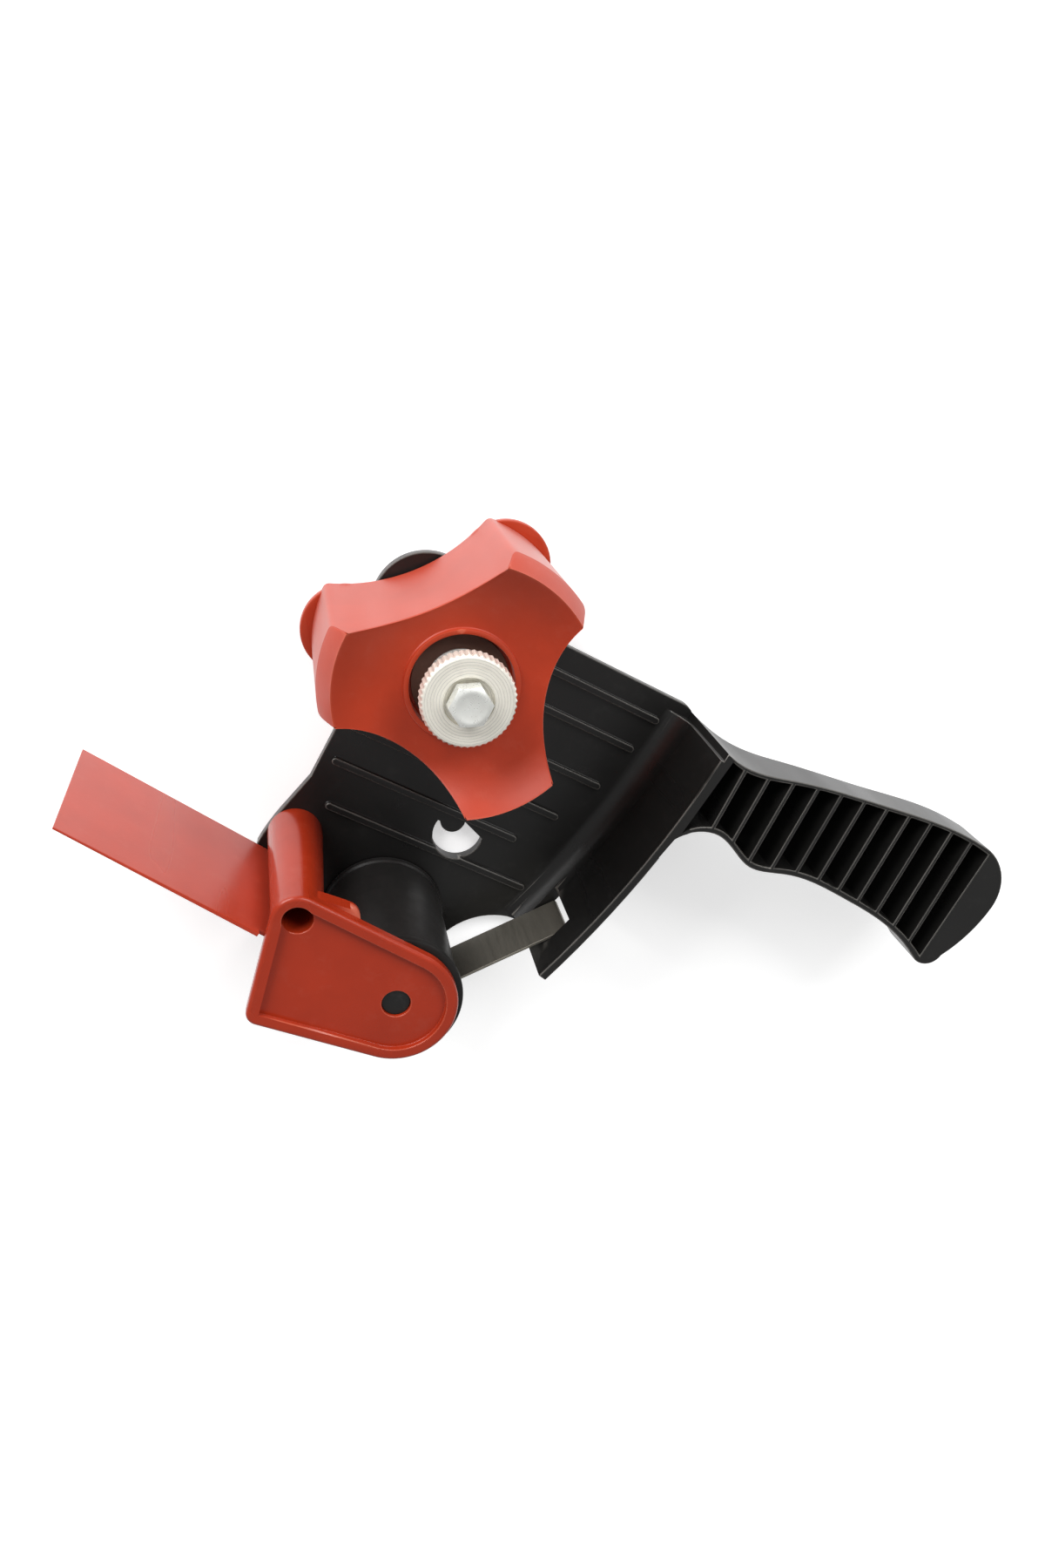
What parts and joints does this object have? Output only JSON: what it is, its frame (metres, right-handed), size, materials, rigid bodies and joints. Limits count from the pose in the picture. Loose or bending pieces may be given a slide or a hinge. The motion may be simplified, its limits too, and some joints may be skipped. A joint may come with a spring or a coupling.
{
  "type": "hand-held packing tape dispenser",
  "caption": "Pistol-grip dispenser for wide packing tape: braked hub on a side plate, open ribbed grip, rubber roller, hinged wiping flap, toothed blade and steel tape tongue",
  "frame": {"origin": "on the axis of the tape hub, at the level of the outer face of the side plate, on which the tool lies", "axes": "+X runs back along the handle, +Y towards the side of the tool that is on top in use, +Z along the hub axis away from the side plate"},
  "size_m": [0.261, 0.1466, 0.067],
  "materials": {
    "frame_plastic": "black moulded plastic with a fine grain",
    "hub_plastic": "orange red moulded plastic, satin",
    "bracket_plastic": "orange red moulded plastic, satin",
    "flap_plastic": "flexible orange red plastic sheet, satin",
    "roller_rubber": "black rubber, satin",
    "roller_plastic": "black moulded plastic",
    "nylon": "natural nylon",
    "fibre": "brown pressed fibre",
    "plain_steel": "zinc plated steel",
    "spring_steel": "drawn spring wire",
    "blade_steel": "ground blade steel",
    "tongue_steel": "rolled spring steel strip",
    "nut_plating": "bright plated, knurled"
  },
  "bodies": {
    "tool": {"frame_body": "frame_plastic", "hub_sleeve": "plain_steel", "rear_thrust_washer": "nylon", "front_friction_washer": "fibre", "spring_seat": "plain_steel", "brake_spring": "spring_steel", "hub_bolt": "plain_steel", "rear_washer": "plain_steel", "rear_lock_nut": "plain_steel", "front_bracket": "bracket_plastic", "bracket_screws": "plain_steel", "flap_pin": "plain_steel", "cutting_blade": "blade_steel", "blade_screws": "plain_steel", "tape_tongue": "tongue_steel", "tongue_rivets": "plain_steel"},
    "hub": {"tape_hub": "hub_plastic"},
    "thrust": {"pressure_washer": "plain_steel"},
    "nut": {"brake_nut": "nut_plating"},
    "roller": {"roller_core": "roller_plastic", "roller_sleeve": "roller_rubber"},
    "flap": {"wiper_flap": "flap_plastic"}
  },
  "joints": [
    {"name": "hub_spin", "type": "hinge", "parent": "tool", "child": "hub", "pos_m": [0, 0, 0.03], "axis": [0, 0, 1], "continuous": true},
    {"name": "brake_travel", "type": "slide", "parent": "tool", "child": "thrust", "axis": [0, 0, -1], "range_m": [0, 0.0025], "deforming": ["brake_spring"]},
    {"name": "brake_turn", "type": "hinge", "parent": "thrust", "child": "nut", "pos_m": [0, 0, 0.058], "axis": [0, 0, -1], "range_deg": [0, 900]},
    {"name": "roller_spin", "type": "hinge", "parent": "tool", "child": "roller", "pos_m": [0.0233, -0.086, 0.03], "axis": [0, 0, 1], "continuous": true},
    {"name": "flap_flex", "type": "hinge", "parent": "tool", "child": "flap", "pos_m": [-0.0116, -0.0838, 0.03], "axis": [0, 0, 1], "range_deg": [-15, 5], "stiffness_Nm_per_rad": 0.05}
  ],
  "couplings": [
    {"joint": "brake_turn", "follows": "brake_travel", "rad_per_m": 6283.1}
  ]
}
